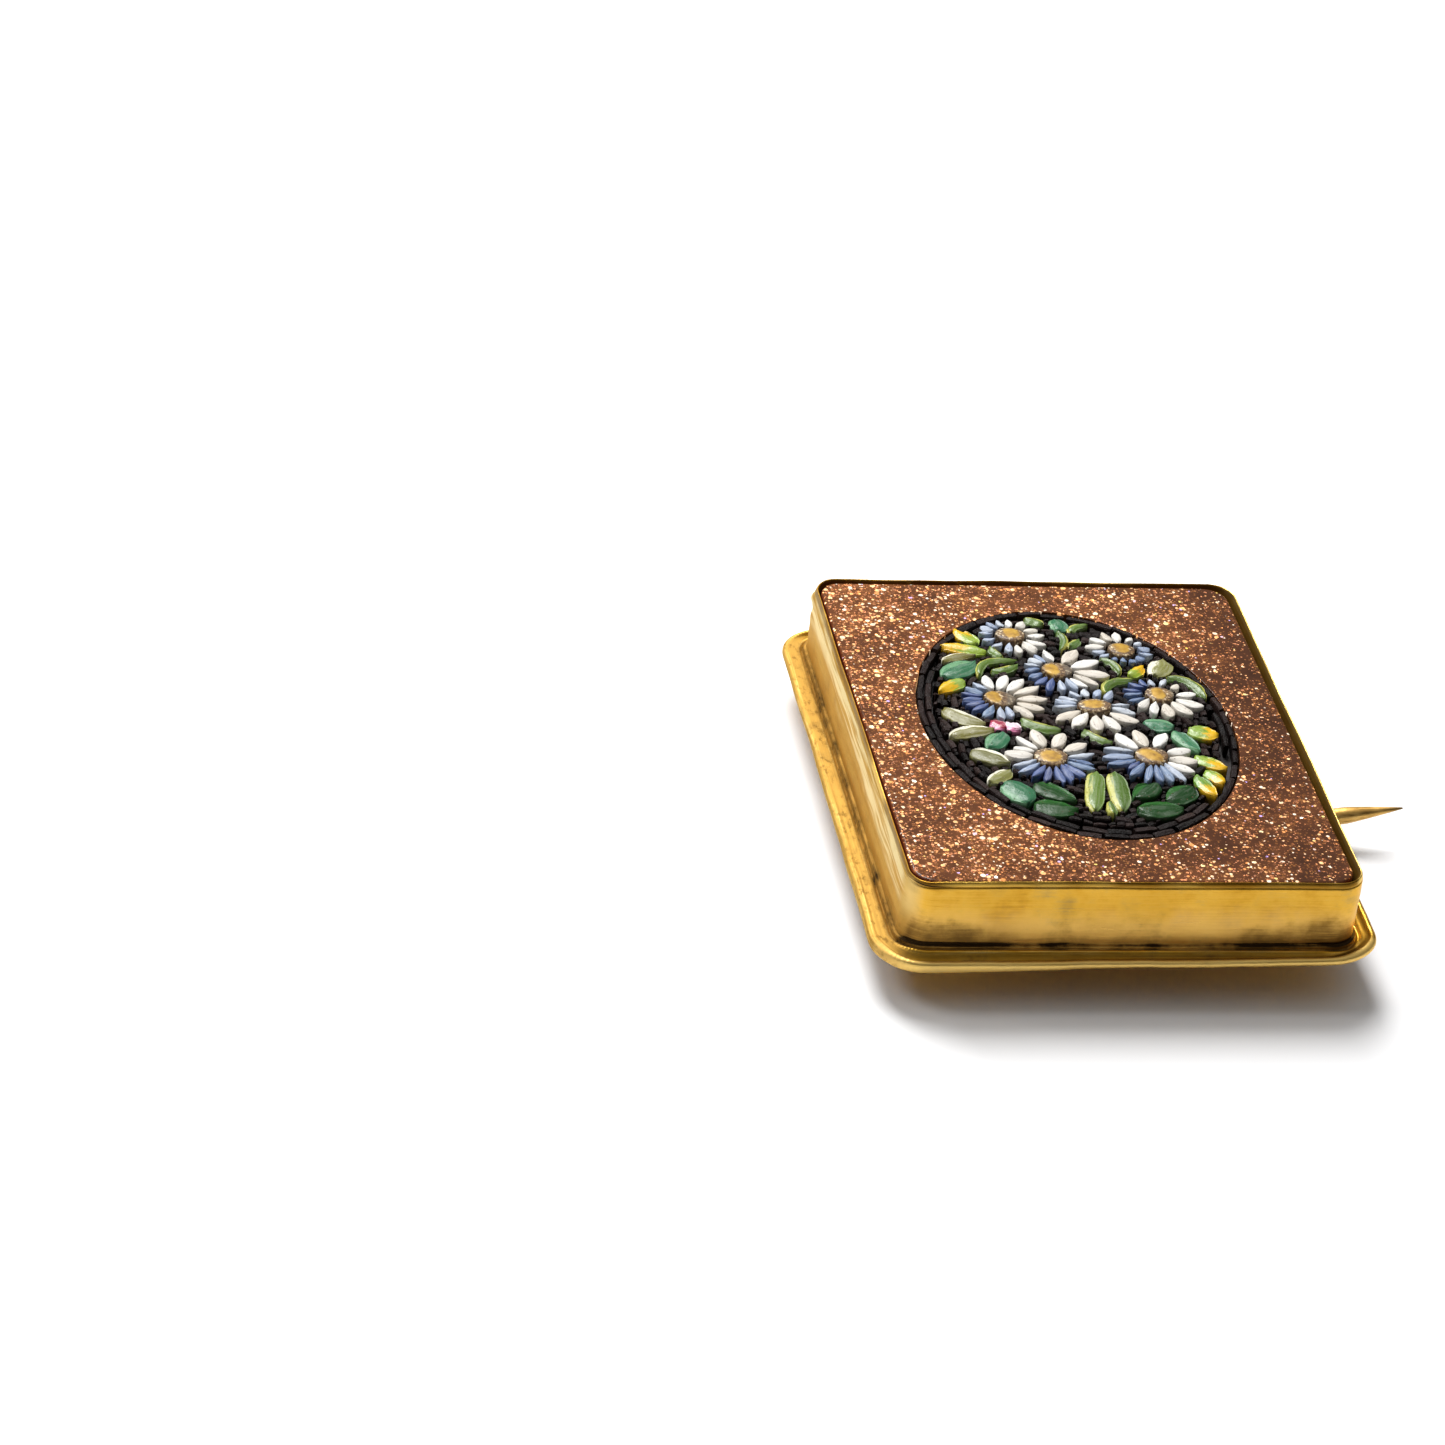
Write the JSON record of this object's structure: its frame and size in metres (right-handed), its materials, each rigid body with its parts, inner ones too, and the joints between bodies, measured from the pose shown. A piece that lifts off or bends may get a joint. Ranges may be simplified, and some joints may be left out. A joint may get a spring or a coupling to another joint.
{
  "type": "micromosaic brooch",
  "caption": "Rectangular gilt brooch with a goldstone plaque, an oval floral micromosaic, a stepped flange and a hinged pin with a hook catch.",
  "frame": {"origin": "centre of the bounding box at the height of the table that the brooch lies on, face up", "axes": "+Z out of the mosaic's face, +Y towards the top of the picture, +X from the hinge towards the pin's point"},
  "size_m": [0.0332, 0.0344, 0.0072],
  "materials": {
    "gilt_metal": "satin gilt, brushed and tarnished",
    "pin_wire": "polished gilt wire",
    "goldstone": "polished glass full of copper specks",
    "dark_cement": "matt dark cement",
    "black_glass": "opaque glass, slightly glossy",
    "white_glass": "opaque glass, slightly glossy",
    "pale_blue_glass": "opaque glass, slightly glossy",
    "mid_blue_glass": "opaque glass, slightly glossy",
    "deep_blue_glass": "opaque glass, slightly glossy",
    "gold_glass": "opaque glass, slightly glossy",
    "green_glass": "opaque glass, slightly glossy",
    "teal_glass": "opaque glass, slightly glossy",
    "lime_glass": "opaque glass, slightly glossy",
    "yellow_glass": "opaque glass, slightly glossy",
    "cream_glass": "opaque glass, slightly glossy",
    "pink_glass": "opaque glass, slightly glossy"
  },
  "bodies": {
    "brooch": {"setting": "gilt_metal", "hinge_rivet": "gilt_metal", "goldstone_plaque": "goldstone", "mosaic_bed": "dark_cement", "border_tesserae": "black_glass", "flower_centres": "gold_glass", "petals_white": "white_glass", "petals_pale_blue": "pale_blue_glass", "petals_mid_blue": "mid_blue_glass", "petals_deep_blue": "deep_blue_glass", "leaves_green": "green_glass", "leaves_teal": "teal_glass", "leaves_lime": "lime_glass", "leaves_yellow": "yellow_glass", "leaves_cream": "cream_glass", "leaves_pink": "pink_glass"},
    "pin": {"pin_stem": "pin_wire"}
  },
  "joints": [
    {"name": "pin_swing", "type": "hinge", "parent": "brooch", "child": "pin", "pos_m": [-0.01215, -0.0009, 0.001], "axis": [0, 1, 0], "range_deg": [0, 100]}
  ]
}
